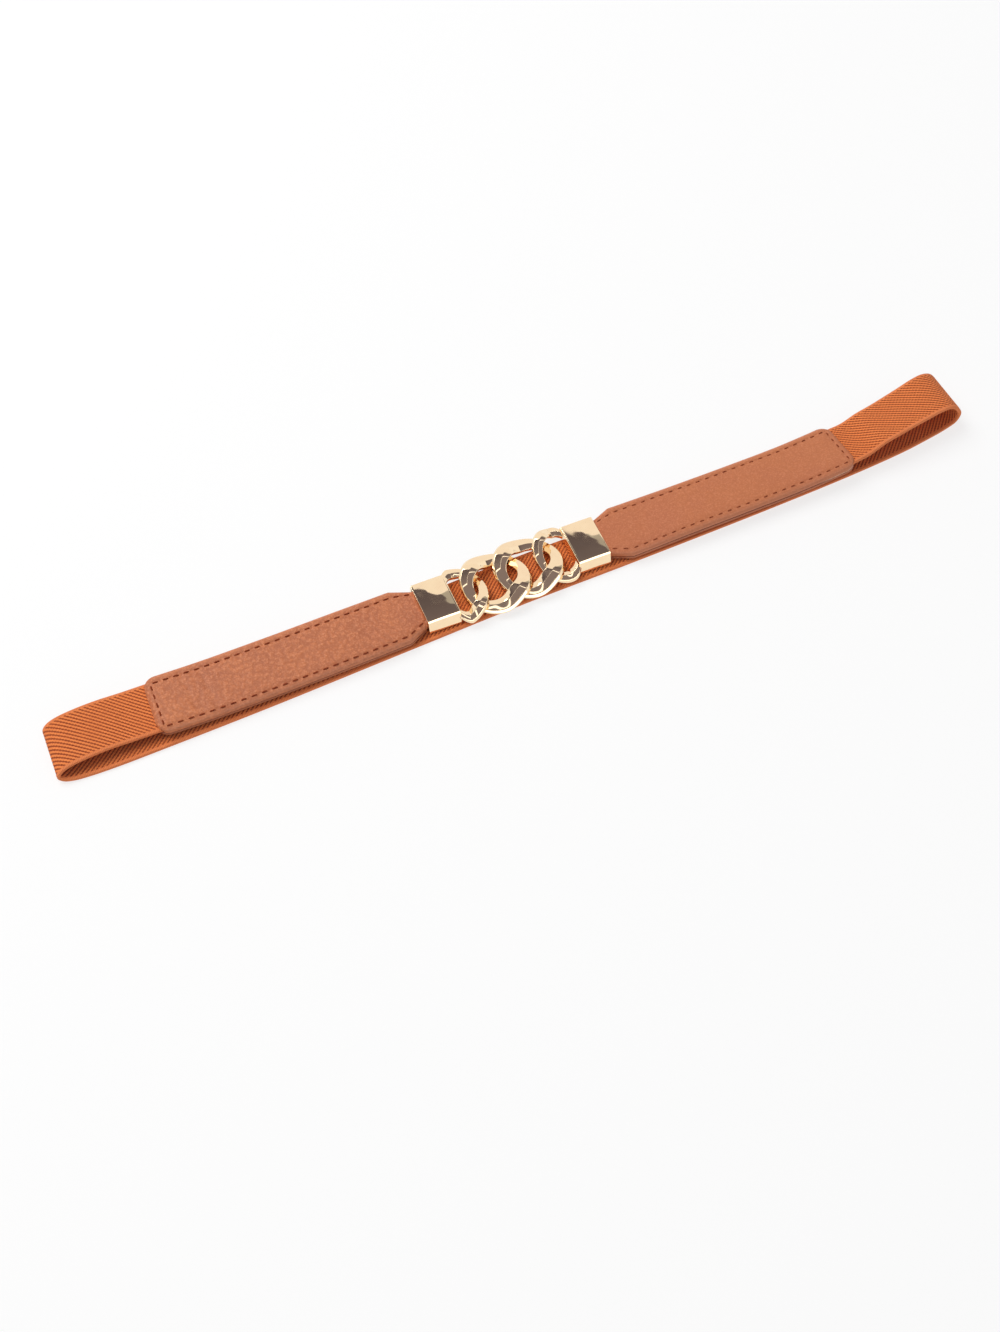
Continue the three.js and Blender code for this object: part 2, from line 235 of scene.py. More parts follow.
# %% [markdown]
# ## Cards for the metal to mirror
#
# Polished metal has hardly a colour of its own: it shows what stands round it. A
# photographer hangs white and dark cards where the metal can mirror them. Here they are
# glowing planes that only mirror rays see, so they change neither the table nor the
# shadows. White cards stand round the table. A dark card hangs over it, darker towards
# its far edge. That edge has a slanting stretch for each cap, which splits the cap's
# top into a pale and a dark half. Two bright slits in the dark card give the links'
# ground faces their thin bright lines.


# %% Cards
DARKENS = (0.02, 0.22)  # far_glow takes over between these two values of y, in metres


def card(name, corners, glow, far_glow=None):
    """A flat glowing card that only mirror rays see; its far part can glow less."""
    made = Finish(name)
    made.tree.nodes.remove(made.surface)
    color = (*glow, 1.0)
    if far_glow:
        place = made.node("ShaderNodeTexCoord").outputs["Object"]
        y = made.node("ShaderNodeSeparateXYZ", place).outputs["Y"]
        color = made.mix(made.step(y, *DARKENS), color, (*far_glow, 1.0))
    light = made.node("ShaderNodeEmission", color, 1.0)
    made.tree.links.new(light.outputs[0], made.tree.nodes["Material Output"].inputs[0])
    mesh = bpy.data.meshes.new(name)
    mesh.from_pydata(corners, [], [list(range(len(corners)))])
    mesh.materials.append(made.material)
    flat = bpy.data.objects.new(name, mesh)
    bpy.context.scene.collection.objects.link(flat)
    for ray in ("camera", "diffuse", "shadow", "transmission", "volume_scatter"):
        setattr(flat, f"visible_{ray}", False)


def wall(name, x0, y0, x1, y1, low, high, glow):
    card(name, [(x0, y0, low), (x1, y1, low), (x1, y1, high), (x0, y0, high)], glow)


# The room of cards, in metres: its four sides and the heights where a card ends.
LEFT, RIGHT, NEAR, FAR = -1.6, 1.8, -1.2, 1.5
FOOT, STRIP_FOOT, STRIP_TOP, SIDE_TOP, FAR_TOP = 0.02, 0.45, 1.5, 1.6, 2.4
WHITE = (1.0, 1.0, 1.0)
wall("white_card_far", LEFT, FAR, RIGHT, FAR, FOOT, FAR_TOP, (0.98, 0.95, 0.94))
wall("white_card_left", LEFT, NEAR, LEFT, FAR, FOOT, SIDE_TOP, WHITE)
wall("white_card_right", RIGHT, NEAR, RIGHT, FAR, FOOT, SIDE_TOP, WHITE)
wall("white_card_near", LEFT, NEAR, RIGHT, NEAR, FOOT, STRIP_FOOT, WHITE)
wall("bright_strip_near", LEFT, NEAR, RIGHT, NEAR, STRIP_FOOT, STRIP_TOP, (3.0, 3.0, 3.0))

DARK_HEIGHT = 0.3
DARK_LEFT, DARK_RIGHT, DARK_NEAR = -0.38, 0.45, -0.22
dark_edge = [(DARK_LEFT, 0.26), (0.002, 0.24), (0.072, 0.14), (0.096, 0.236)]
dark_edge += [(0.168, 0.138), (0.2, 0.175), (DARK_RIGHT, 0.175)]
dark_edge += [(DARK_RIGHT, DARK_NEAR), (DARK_LEFT, DARK_NEAR)]
dark_corners = [(x, y, DARK_HEIGHT) for x, y in dark_edge]
card("dark_card", dark_corners, (0.24, 0.21, 0.24), (0.11, 0.095, 0.115))

SLIT_GLOW = (1.7, 1.7, 1.7)
SLIT_SLANT = 0.03
slits = [(0.05, 0.012), (-0.06, 0.025)]  # near edge at the left end, breadth
for number, (y, breadth) in enumerate(slits):
    near_edge = [(DARK_LEFT, y), (DARK_RIGHT, y - SLIT_SLANT)]
    far_edge = [(a, b + breadth) for a, b in reversed(near_edge)]
    corners = [(a, b, DARK_HEIGHT - 0.01) for a, b in near_edge + far_edge]
    card(f"bright_slit_{number}", corners, SLIT_GLOW)

# %% [markdown]
# ## The belt's middle line
#
# A band that is folded over and lies slightly twisted is hard to draw as a surface but
# easy as a line with a direction at each point. The tables hold the line's rows as
# shares of a few real sizes: where it goes, how far it drifts sideways, how high it
# lies, and how much it is turned in plan (yaw) and tipped over its long edge (bank).
# They are the rows that the frame was built from, so the finished band lies exactly
# where the frame's band lies.

# %% Sizes of the band and the tabs
BAND_WIDTH = 19.6
BAND_THICK = 1.5
SEAT = 0.3
TAB_LENGTH = 100.0
TAB_WIDTH = 22.3
FRONT_LEATHER = 1.3
BACK_LEATHER = 1.0
MOUTH_X = 36.3
CAP_YAW = -2.2
LEFT_FOLD = (37.0, 7.2)  # length beyond the tab, height
RIGHT_FOLD = (49.5, 13.2)
LEFT_LIFT = 0.8  # how far the tab is lifted at its outer end
RIGHT_LIFT = 1.5
TAB_END_X = MOUTH_X + TAB_LENGTH
CORE_Z = BAND_THICK + SEAT + BACK_LEATHER + SEAT + BAND_THICK / 2


def rows_of(columns, *rows):
    names = columns.split()
    return [dict(zip(names, row)) for row in rows]


# %% Rows inside the tabs, outwards from the cap's mouth
TAB_COLUMNS = "along drift lift yaw bank"
left_tab_rows = rows_of(
    TAB_COLUMNS,
    (0, -0.012, 0, CAP_YAW, 0),
    (0.1, -0.012, 0, -1.2, 0.8),
    (0.3, -0.008, 0, -0.6, 2.6),
    (0.55, 0.012, 0.04, -1.2, 3),
    (0.8, 0.048, 0.3, -2.6, 3),
    (1, 0.095, 1, -4.2, 3),
)
right_tab_rows = rows_of(
    TAB_COLUMNS,
    (0, -0.018, 0, CAP_YAW, 0),
    (0.1, -0.045, 0, -1.8, -1.2),
    (0.3, -0.09, 0, -1.2, -4.8),
    (0.55, -0.125, 0.04, -0.6, -5.8),
    (0.8, -0.15, 0.3, 0, -6.2),
    (1, -0.138, 1, 1.2, -7.2),
)

# %% Rows of the two folds, outwards from the tab's end and back underneath
FOLD_COLUMNS = "out drift rise yaw bank"
left_fold_rows = rows_of(
    FOLD_COLUMNS,
    (0.22, 0.11, 0.82, -4.2, 3),
    (0.48, 0.12, 0.94, -4.0, 3.4),
    (0.72, 0.11, 0.97, -4.0, 4),
    (0.88, 0.09, 0.9, -4.0, 4.5),
    (0.965, 0.065, 0.72, -4.0, 4.5),
    (1, 0.03, 0.44, -4.0, 3.5),
    (0.965, -0.01, 0.19, -3.4, 2),
    (0.88, -0.05, 0.05, -2.4, 0.4),
    (0.72, -0.085, 0, -1.2, 0),
    (0.48, -0.11, 0, -0.6, 0),
)
right_fold_rows = rows_of(
    FOLD_COLUMNS,
    (0.12, -0.12, 0.54, 2.8, -9.5),
    (0.26, -0.09, 0.73, 4.2, -11),
    (0.4, -0.055, 0.79, 4.6, -11),
    (0.54, -0.02, 0.87, 4.6, -10),
    (0.66, 0.01, 0.93, 4.4, -8),
    (0.77, 0.035, 1.0, 4.0, -5),
    (0.87, 0.055, 0.98, 3.0, -3),
    (0.95, 0.065, 0.78, 1.0, -1),
    (1, 0.07, 0.41, 0.0, 0),
    (0.97, 0.055, 0.155, 1.0, 0),
    (0.87, 0.03, 0.03, 2.4, 0),
    (0.72, -0.015, 0, 3.0, 0),
    (0.48, -0.08, 0, 2.4, 0),
)
lower_run_rows = rows_of(
    "along drift yaw",
    (0.0, -0.125, -0.3),
    (0.14, -0.138, 0.2),
    (0.34, -0.115, 0.4),
    (0.5, -0.1, 0),
    (0.66, -0.135, -0.6),
    (0.86, -0.155, 0),
    (1.0, -0.135, 1.2),
)


# %% Rows turned into places
def tab_place(row, side, lift):
    lean = abs(math.sin(math.radians(row["bank"]))) * TAB_WIDTH / 2
    x = side * (MOUTH_X + row["along"] * TAB_LENGTH)
    z = CORE_Z + row["lift"] * lift + lean
    return (x, row["drift"] * BAND_WIDTH, z, row["yaw"], row["bank"])


def fold_place(row, side, length, height):
    x = side * (TAB_END_X + row["out"] * (length - BAND_THICK / 2))
    z = BAND_THICK / 2 + row["rise"] * (height - BAND_THICK)
    return (x, row["drift"] * BAND_WIDTH, z, row["yaw"], row["bank"])


def lower_place(row):
    x = TAB_END_X * (2 * row["along"] - 1)
    return (x, row["drift"] * BAND_WIDTH, BAND_THICK / 2, row["yaw"], 0.0)


places = [tab_place(row, -1, LEFT_LIFT) for row in left_tab_rows]
places += [fold_place(row, -1, *LEFT_FOLD) for row in left_fold_rows]
places += [lower_place(row) for row in lower_run_rows]
places += [fold_place(row, 1, *RIGHT_FOLD) for row in reversed(right_fold_rows)]
places += [tab_place(row, 1, RIGHT_LIFT) for row in reversed(right_tab_rows)]
places = np.array(places)
print(len(places), "rows from one cap's mouth round to the other's")

# %% [markdown]
# A smooth curve has to pass through every row without swinging out between them, also
# where the rows stand close together in a fold. A centripetal spline does that: each
# span is timed by the square root of its length. The width's direction is blended along
# the line and smoothed over a few millimetres, because woven elastic turns gradually.


# %% Spline through the rows
def centripetal(points, steps):
    ends = [2 * points[0] - points[1], 2 * points[-1] - points[-2]]
    p = np.vstack([ends[0], points, ends[1]])
    out = []
    for k in range(len(points) - 1):
        a, b, c, d = p[k : k + 4]
        ta, tb, tc = [np.linalg.norm(v) ** 0.5 for v in (b - a, c - b, d - c)]
        leave = ((b - a) / ta - (c - a) / (ta + tb) + (c - b) / tb) * tb
        arrive = ((c - b) / tb - (d - b) / (tb + tc) + (d - c) / tc) * tb
        for t in np.arange(steps) / steps:
            cubic = (2 * b - 2 * c + leave + arrive) * t**3
            square = (-3 * b + 3 * c - 2 * leave - arrive) * t**2
            out.append(cubic + square + leave * t + b)
    return np.array(out + [points[-1]])


STEPS = 60
line = centripetal(places[:, :3], STEPS)
line[:, 2] = np.maximum(line[:, 2], BAND_THICK / 2)
row_number = np.arange(len(line)) / STEPS
run = np.concatenate([[0], np.cumsum(np.linalg.norm(np.diff(line, axis=0), axis=1))])
belt_length = run[-1]
TURN_REACH = 3.0  # mm over which the width's direction is averaged


def smoothed_turn(column):
    """An angle of the tables along the belt, in radians and averaged each way."""
    stride, count = 0.5, 20
    by_row = np.interp(row_number, range(len(places)), places[:, column])
    even = np.arange(0, belt_length, stride)
    weights = np.exp(-0.5 * (np.arange(-count, count + 1) * stride / TURN_REACH) ** 2)
    padded = np.pad(np.interp(even, run, by_row), count, mode="edge")
    averaged = np.convolve(padded, weights / weights.sum(), "valid")
    return np.radians(np.interp(run, even, averaged))


yaw, bank = smoothed_turn(3), smoothed_turn(4)
across = np.stack(
    [-np.sin(yaw) * np.cos(bank), np.cos(yaw) * np.cos(bank), np.sin(bank)], axis=1
)
tangent = np.gradient(line, run, axis=0)
outward = np.cross(across, tangent)
outward /= np.linalg.norm(outward, axis=1)[:, None]

# %% Put the line into the frame
edge_points = np.vstack([line + across * w for w in (-BAND_WIDTH / 2, BAND_WIDTH / 2)])
own_middle = (edge_points.min(0) + edge_points.max(0)) / 2
band_low, band_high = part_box("elastic_band")
frame_middle = np.array((band_low + band_high) / 2) / mm
shift = (frame_middle - own_middle) * (1, 1, 0)
line += shift
print("belt line is", round(belt_length), "mm long; moved by", np.round(shift, 2))


def at(distance):
    """Middle, width direction and outer face's direction at distances along the line."""
    inside = np.clip(distance, 0.01, belt_length - 0.01)

    def sample(values):
        return np.stack([np.interp(inside, run, values[:, k]) for k in range(3)], -1)

    ahead = (distance - inside)[..., None] * sample(tangent)
    return sample(line) + ahead, sample(across), sample(outward)


def laid(distance, w, height):
    """Points at distances along the line, w across it and at a height over it."""
    middle, width_way, face_way = at(distance)
    return middle + width_way * w[..., None] + face_way * height[..., None]


# %% [markdown]
# ## From rings of points to a surface
#
# Most pieces here are skins stretched over rings of points: the band, the leather, the
# caps and the links. One helper makes them all. It joins each ring to the next with
# quads, closes the two ends (or joins the last ring to the first), and writes a UV map,
# so that a material can tell how far along and how far across the piece it is.


# %% Skin helper
def meshed(name, points, faces, material):
    """A smooth mesh of points in millimetres, as a piece that rides on the frame."""
    mesh = bpy.data.meshes.new(name)
    mesh.from_pydata((points * mm).tolist(), [], faces)
    mesh.shade_smooth()
    mesh.materials.append(material)
    made = bpy.data.objects.new(name, mesh)
    bpy.context.scene.collection.objects.link(made)
    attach(made, "root")
    return made


def ring_faces(count, size, closed):
    """Where each quad between two rings starts, and the quads and end faces."""
    i, j = np.indices((count if closed else count - 1, size)).reshape(2, -1)
    nexti, nextj = (i + 1) % count, (j + 1) % size
    corners = [i * size + j, i * size + nextj, nexti * size + nextj, nexti * size + j]
    faces = np.stack(corners, axis=1).tolist()
    if not closed:
        first, last = list(range(size)), (count - 1) * size
        faces += [first[::-1], [last + k for k in first]]
    return i, j, faces


def skin(name, rings, uv, material, closed=False, sharp=40.0):
    rings = np.asarray(rings)
    count, size = rings.shape[:2]
    i, j, faces = ring_faces(count, size, closed)
    uv = uv / UV_MM
    wrapped = [uv[i, j], uv[i, j + 1], uv[i + 1, j + 1], uv[i + 1, j]]
    face_uv = np.stack(wrapped, axis=1).reshape(-1, 2)
    if not closed:
        face_uv = np.vstack([face_uv, uv[0, :size][::-1], uv[count - 1, :size]])
    made = meshed(name, rings.reshape(-1, 3), faces, material)
    layer = made.data.uv_layers.new(name="UVMap")
    layer.data.foreach_set("uv", face_uv.astype(np.float32).ravel())
    made.data.validate()
    made.data.set_sharp_from_angle(angle=math.radians(sharp))
    return made


def ring_uv(along, across_here):
    """The UV map of rings of points, with the first column and the last row repeated."""
    uv = np.stack([along, np.broadcast_to(across_here, along.shape)], axis=-1)
    uv = np.concatenate([uv, uv[:, :1]], axis=1)
    return np.concatenate([uv, uv[-1:]], axis=0)


def face_outwards(piece):
    """Turns the whole skin over if its faces point inwards."""
    mesh = piece.data
    mesh.calc_loop_triangles()
    co = np.zeros(len(mesh.vertices) * 3)
    mesh.vertices.foreach_get("co", co)
    tri = np.zeros(len(mesh.loop_triangles) * 3, int)
    mesh.loop_triangles.foreach_get("vertices", tri)
    a, b, c = co.reshape(-1, 3)[tri.reshape(-1, 3)].transpose(1, 0, 2)
    if np.einsum("ij,ij->", a, np.cross(b, c)) < 0:
        mesh.flip_normals()
    return piece


# %% [markdown]
# ## The elastic band
#
# Narrow elastic is woven in a twill: short floats of covered rubber lie side by side,
# each a step further on than its neighbour, and together they form slanting ribs. On
# this belt the ribs are 1.15 mm apart and slant at 40 degrees to the band. Both edges
# have a plain, smoother border.
#
# The ribs could be a bump texture, but then the band's outline and the light along its
# folds would be flat. Here the rings themselves are slanted along the ribs, so raising
# and lowering them makes real ridges with few points. The rings need many points
# across as well: a slanted ring runs round a tight fold, and a coarse one would cut its
# corners and leave notches in the outline. The finer floats are left to the material.

# %% Sizes of the ribs
RIB_PITCH = 1.15
RIB_SLANT = math.radians(40.0)
RIB_ALONG = RIB_PITCH / math.sin(RIB_SLANT)  # from one rib to the next along the band
RIB_HEIGHT = 0.09
RIB_SAMPLES = 4
BORDER = 1.3
BORDER_THICK = 1.42
EDGE_ROUND = 0.5
POINTS_ACROSS = 21
slip = 1 / math.tan(RIB_SLANT)  # how far a rib moves along for each step across
print("a rib every", round(RIB_ALONG, 2), "mm along the band")


# %% Section of the band
def band_section():
    """Points across the band: (across, height share of the rib, plain height)."""
    half = BAND_WIDTH / 2
    ribbed = np.linspace(-(half - BORDER), half - BORDER, POINTS_ACROSS)
    border = [(half - 1.0, 0.3), (half - 0.75, 0.0)]
    corner = BORDER_THICK / 2
    turn = [math.radians(a) for a in (65, 35, 0, -35, -65)]
    round_centre = half - EDGE_ROUND
    edge = [(round_centre + EDGE_ROUND * math.cos(a), corner * math.sin(a)) for a in turn]
    upper = [(-w, r, corner) for w, r in reversed(border)]
    upper += [(w, 1.0, corner) for w in ribbed]
    upper += [(w, r, corner) for w, r in border]
    right = [(w, 0.0, h) for w, h in edge]
    lower = [(-w, r, -h) for w, r, h in upper]
    left = [(-w, 0.0, -h) for w, _, h in right]
    return upper + right + lower + left


section = np.array(band_section())
TUCK = 12.0  # the band's ends lie inside the tabs
starts = TUCK + BAND_WIDTH / 2 * slip
stops = belt_length - starts
steps = np.arange(starts, stops, RIB_ALONG / RIB_SAMPLES)

# %% Weave the band
rib = (0.5 - 0.5 * np.cos(2 * np.pi * steps / RIB_ALONG)) ** 0.8
w, share, plain = section.T
distance = steps[:, None] + w[None, :] * slip
side = np.sign(plain)[None, :]
base = np.abs(plain)[None, :] * (1 - share) + (BAND_THICK / 2 - RIB_HEIGHT) * share
lifted = side * (base + share * RIB_HEIGHT * rib[:, None])
rings = laid(distance, w, lifted)
INNER_FACE = 1000.0  # added to the across value on the band's inner face
across_uv = np.where(plain < 0, w + INNER_FACE, w)
uv = ring_uv(distance, across_uv)
print("band skin:", rings.shape[0], "rings of", rings.shape[1], "points")

# %% [markdown]
# ### The elastic's finish
#
# Seen close, each rib is a row of short parallel floats, and the thread between them
# lies deeper, so its colour is painted darker as painted shade. The recipe repeats the
# weave's own count: the width is cut into columns of 0.73 mm, and in each column the
# ribs are taken at the column's middle, which turns a straight slanting line into small
# steps. The border shows only fine cross threads, and the inner face is painted a little
# darker, as painted shade inside the folds. A little slow noise keeps the colour from
# looking printed.


# %% Elastic material
FLOAT_COLUMN = 0.73
CROSS_THREAD = 0.55


def elastic_finish():
    f = Finish("woven_elastic")
    along, across_here = f.along_across()
    inner = f.math("GREATER_THAN", across_here, INNER_FACE / 2)
    width = f.math("MULTIPLY_ADD", inner, -INNER_FACE, across_here)
    number = f.math("FLOOR", f.math("DIVIDE", width, FLOAT_COLUMN))
    centre = f.math("MULTIPLY_ADD", number, FLOAT_COLUMN, FLOAT_COLUMN / 2)
    stepped = f.math("DIVIDE", f.math("MULTIPLY_ADD", centre, -slip, along), RIB_ALONG)
    smooth = f.math("DIVIDE", f.math("MULTIPLY_ADD", width, -slip, along), RIB_ALONG)
    float_wave = f.wave(stepped)
    rib_wave = f.wave(smooth)
    thread = f.wave(f.math("DIVIDE", width, FLOAT_COLUMN))
    weave = f.math("MULTIPLY_ADD", float_wave, 0.35, f.math("MULTIPLY", rib_wave, 0.65))
    borders = f.step(f.math("ABSOLUTE", width), BAND_WIDTH / 2 - 1.4, BAND_WIDTH / 2 - 1.0)
    place = f.node("ShaderNodeTexCoord").outputs["Object"]
    cloudy = f.noise(place, 90.0, 3.0)
    fibre = f.noise(place, 5200.0, 2.0)
    depth = f.step(weave, 0.18, 0.64)
    # The dark groove colour is painted shade: the thread between the ribs lies deeper.
    shaded_groove, crest = srgb(134, 44, 14), srgb(241, 132, 68)
    woven = f.mix(depth, shaded_groove, crest)
    # Painted shade: the inner face is darkened because it lies in the shadow of the folds.
    woven = f.mix(f.math("MULTIPLY", inner, 0.2), woven, srgb(124, 44, 22))
    cross_thread = f.wave(f.math("DIVIDE", along, CROSS_THREAD))
    border = f.mix(cross_thread, srgb(214, 110, 62), srgb(234, 138, 84))
    color = f.mix(borders, woven, border)
    color = f.mix(f.step(cloudy, 0.35, 0.7, 0.0, 0.22), color, srgb(196, 94, 44))
    color = f.mix(f.step(fibre, 0.3, 0.8, 0.0, 0.25), color, srgb(248, 160, 88))
    floats = f.math("MULTIPLY", float_wave, f.math("MULTIPLY_ADD", thread, 0.35, 0.65))
    edge_threads = f.math("MULTIPLY", cross_thread, 0.3)
    height = f.blend(borders, floats, edge_threads)
    normal = f.bump(height, 0.12 * mm)
    normal = f.bump(fibre, 0.03 * mm, normal)
    return f.finish(
        color=color,
        roughness=0.85,
        sheen_weight=0.04,
        sheen_roughness=0.5,
        sheen_tint=srgb(255, 195, 150),
        specular=0.2,
        normal=normal,
    )


woven_elastic = elastic_finish()
band = face_outwards(skin("elastic_band_woven", rings, uv, woven_elastic))
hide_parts("elastic_band")
print("woven band:", len(band.data.polygons), "faces")

# %% [markdown]
# ## The leather tabs
#
# Each tab is a front leather folded down over the band's edges and sewn through to a
# thinner back leather. The stitch line presses a shallow groove into the leather, every
# needle hole makes a small dimple, and outside the stitches the margin slopes down to
# the turned edge. All of that is a height over a flat outline, so the front is built as
# a height map on the band's own line, and the threads are laid on the same heights.

# %% Sizes of the leather
NOSE_LENGTH = 7.6
NOSE_WIDTH = 15.7
TAB_CORNER = 4.5
TAB_CROWN = 1.15
CROWN_WIDTH = 3.2
STITCH_INSET = 2.4
STITCH_PITCH = 3.7
STITCH_SHIFT = -0.7  # both seams lie a little nearer to the near edge
GROOVE_DEPTH, GROOVE_REACH = 0.16, 0.55
HOLE_DEPTH, HOLE_REACH = 0.22, 0.42
FRONT_TOP = BAND_THICK / 2 + SEAT + FRONT_LEATHER
RIM_BOTTOM = -BAND_THICK / 2
CHANNEL_HALF = BAND_WIDTH / 2 + SEAT
CHANNEL_TOP = BAND_THICK / 2 + SEAT * 0.3


def tab_half(d):
    """Half the tab's width at a distance from the cap's mouth."""
    full = TAB_WIDTH / 2
    nose = NOSE_WIDTH / 2 + (full - NOSE_WIDTH / 2) * np.clip(d, 0, NOSE_LENGTH) / NOSE_LENGTH
    past = np.clip(d - (TAB_LENGTH - TAB_CORNER), 0, TAB_CORNER)
    return nose - TAB_CORNER + np.sqrt(TAB_CORNER**2 - past**2)


# %% Where the needle goes
def stitch_path():
    """Corner points of the stitch line on the flat tab, as (distance, across)."""
    side_line = TAB_WIDTH / 2 - STITCH_INSET
    nose_line = NOSE_WIDTH / 2 - STITCH_INSET * NOSE_WIDTH / TAB_WIDTH
    end_line = TAB_LENGTH - STITCH_INSET
    near, far = STITCH_SHIFT - side_line, STITCH_SHIFT + side_line
    nose = [(0.3, nose_line), (0.3, -nose_line)]
    long_sides = [(NOSE_LENGTH, near), (end_line, near), (end_line, far), (NOSE_LENGTH, far)]
    return np.array([nose[1], *long_sides, nose[0]])


def needle_holes():
    """Holes along the path, a whole number of stitches on each straight stretch."""
    corners = stitch_path()
    holes = []
    for a, b in zip(corners[:-1], corners[1:]):
        count = max(round(np.linalg.norm(b - a) / STITCH_PITCH), 1)
        holes += [a + (b - a) * k / count for k in range(count)]
    return np.array(holes + [corners[-1]])


holes = needle_holes()
print(len(holes), "needle holes in each tab")


# %% Height of the leather
def line_distance(d, w, corners):
    """Distance of each point of the flat tab from the stitch line."""
    best = np.full(np.shape(d), 1e9)
    for a, b in zip(corners[:-1], corners[1:]):
        way = b - a
        t = ((d - a[0]) * way[0] + (w - a[1]) * way[1]) / (way @ way)
        t = np.clip(t, 0, 1)
        gap = np.hypot(d - a[0] - t * way[0], w - a[1] - t * way[1])
        best = np.minimum(best, gap)
    return best


def leather_height(d, w, creases):
    """Height of the front leather over the band's middle at points of the flat tab."""
    half = tab_half(d)
    edge = np.clip(np.minimum(half - np.abs(w), TAB_LENGTH - d), 0, CROWN_WIDTH)
    height = FRONT_TOP - TAB_CROWN * (1 - edge / CROWN_WIDTH) ** 3
    gap = line_distance(d, w, stitch_path())
    height -= GROOVE_DEPTH * np.exp(-((gap / GROOVE_REACH) ** 2))
    for hole in holes:
        near = np.hypot(d - hole[0], w - hole[1])
        height -= HOLE_DEPTH * np.exp(-((near / HOLE_REACH) ** 2))
    inside = np.clip((gap - 0.5) / 4.0, 0, 1) * (edge >= STITCH_INSET - 0.2)
    height += 0.12 * inside * inside * (3 - 2 * inside)
    ripple = 0.035 * np.sin(d * 0.21 + 0.9 + w * 0.05) + 0.02 * np.sin(d * 0.53 + w * 0.16)
    height += ripple * np.clip(edge / CROWN_WIDTH, 0, 1)
    for at_d, slant, deep, wide in creases:
        off = (d - at_d - slant * w) / wide
        height -= deep * np.exp(-(off**2)) * np.clip(edge / CROWN_WIDTH, 0, 1)
    return height


# %% Front leather
SHARES_ACROSS = [0.995, 0.98, 0.955, 0.925, 0.89, 0.85, 0.81, 0.78, 0.755, 0.73, 0.705, 0.68]
SHARES_ACROSS += [0.64, 0.59, 0.52, 0.43, 0.32, 0.2, 0.07]
TONGUE_OUT = 9.0
TONGUE_HALF = 7.2


def front_rings(place_at, creases):
    d = np.concatenate(
        [
            [-TONGUE_OUT, -0.9, -0.35],
            np.arange(0, TAB_LENGTH - TAB_CORNER, STITCH_PITCH / 10),
            TAB_LENGTH - TAB_CORNER + TAB_CORNER * np.sin(np.radians(np.arange(0, 91, 4.5))),
        ]
    )
    half = tab_half(d)
    inside_cap = d < 0
    half[inside_cap] = TONGUE_HALF
    shares = np.array(SHARES_ACROSS + [-v for v in reversed(SHARES_ACROSS)])
    w = half[:, None] * shares[None, :]
    top = leather_height(np.maximum(d, 0)[:, None] + 0 * w, w, creases)
    top[inside_cap] = FRONT_TOP - 0.25
    edge_top = np.where(inside_cap, FRONT_TOP - 0.4, FRONT_TOP - TAB_CROWN)
    channel = np.where(d > NOSE_LENGTH + 2.0, CHANNEL_TOP, RIM_BOTTOM + 0.02)
    rim = np.where(half > CHANNEL_HALF + 0.1, RIM_BOTTOM, channel)
    inner = np.minimum(half - 0.02, CHANNEL_HALF)
    wall = [
        (half, edge_top - 0.25),
        (half + 0.06, (edge_top + rim) / 2),
        (half, rim + 0.3),
        (half - 0.25, rim),
        (inner, rim),
        (inner, channel),
    ]
    lower_w = [v for v, _ in wall]
    lower_h = [h for _, h in wall]
    w = np.column_stack([w] + [-v for v in lower_w] + lower_w[::-1])
    h = np.column_stack([top] + lower_h + lower_h[::-1])
    return laid(place_at(d)[:, None] + 0 * w, w, h), d, w


def sheet_uv(d, w, offset):
    return ring_uv(d[:, None] + 0 * w + offset, w)


# %% [markdown]
# ### The leather's finish
#
# The tabs are smooth tan leather with a fine pebble grain. Real grain is a net of tiny
# cells with soft creases between them: Voronoi cells give the net and noise makes them
# uneven. The left tab's grain stands out more than the right one's, as it does on two
# pieces cut from different parts of a hide, so the grain's depth is a setting. The
# turned margin is a touch lighter, where the leather is stretched over the edge.


# %% Leather material
def leather_finish(name, grain, tint):
    f = Finish(name)
    place = f.node("ShaderNodeTexCoord").outputs["Object"]
    along, width = f.along_across()
    warp = f.noise(place, 420.0, output="Color")
    bent = f.node("ShaderNodeVectorMath", warp, operation="SCALE")
    bent = f.fill(bent, "Vector", Scale=0.0011)
    where = f.node("ShaderNodeVectorMath", place, bent, operation="ADD").outputs[0]
    cells = f.node("ShaderNodeTexVoronoi", feature="SMOOTH_F1")
    cells = f.fill(cells, "Distance", Vector=where, Scale=800.0)
    pebbles = f.step(cells, 0.15, 0.65, 1.0, 0.0)
    fine = f.noise(place, 2600.0, 4.0, 0.6)
    patches = f.noise(place, 60.0, 3.0)
    mottle = f.noise(place, 1700.0, 3.0)
    color = f.mix(f.step(patches, 0.3, 0.72), srgb(*tint), srgb(190, 109, 70))
    color = f.mix(f.step(mottle, 0.42, 0.7, 0.0, 0.15 + 0.45 * grain), color, srgb(226, 150, 108))
    creased = f.math("MULTIPLY", f.math("SUBTRACT", 1.0, pebbles), 0.42 * grain)
    color = f.mix(creased, color, srgb(153, 80, 48))
    edge = f.step(f.math("ABSOLUTE", width), TAB_WIDTH / 2 - 2.6, TAB_WIDTH / 2 - 0.2, 0.0, 0.3)
    color = f.mix(edge, color, srgb(207, 130, 92))
    height = f.math("MULTIPLY_ADD", fine, 0.35, pebbles)
    normal = f.bump(height, 0.09 * grain * mm)
    rough = f.step(mottle, 0.3, 0.8, 0.46, 0.6)
    return f.finish(color=color, roughness=rough, specular=0.25, normal=normal)


left_leather = leather_finish("grained_leather", 1.0, (203, 118, 71))
right_leather = leather_finish("smooth_leather", 0.35, (193, 112, 68))
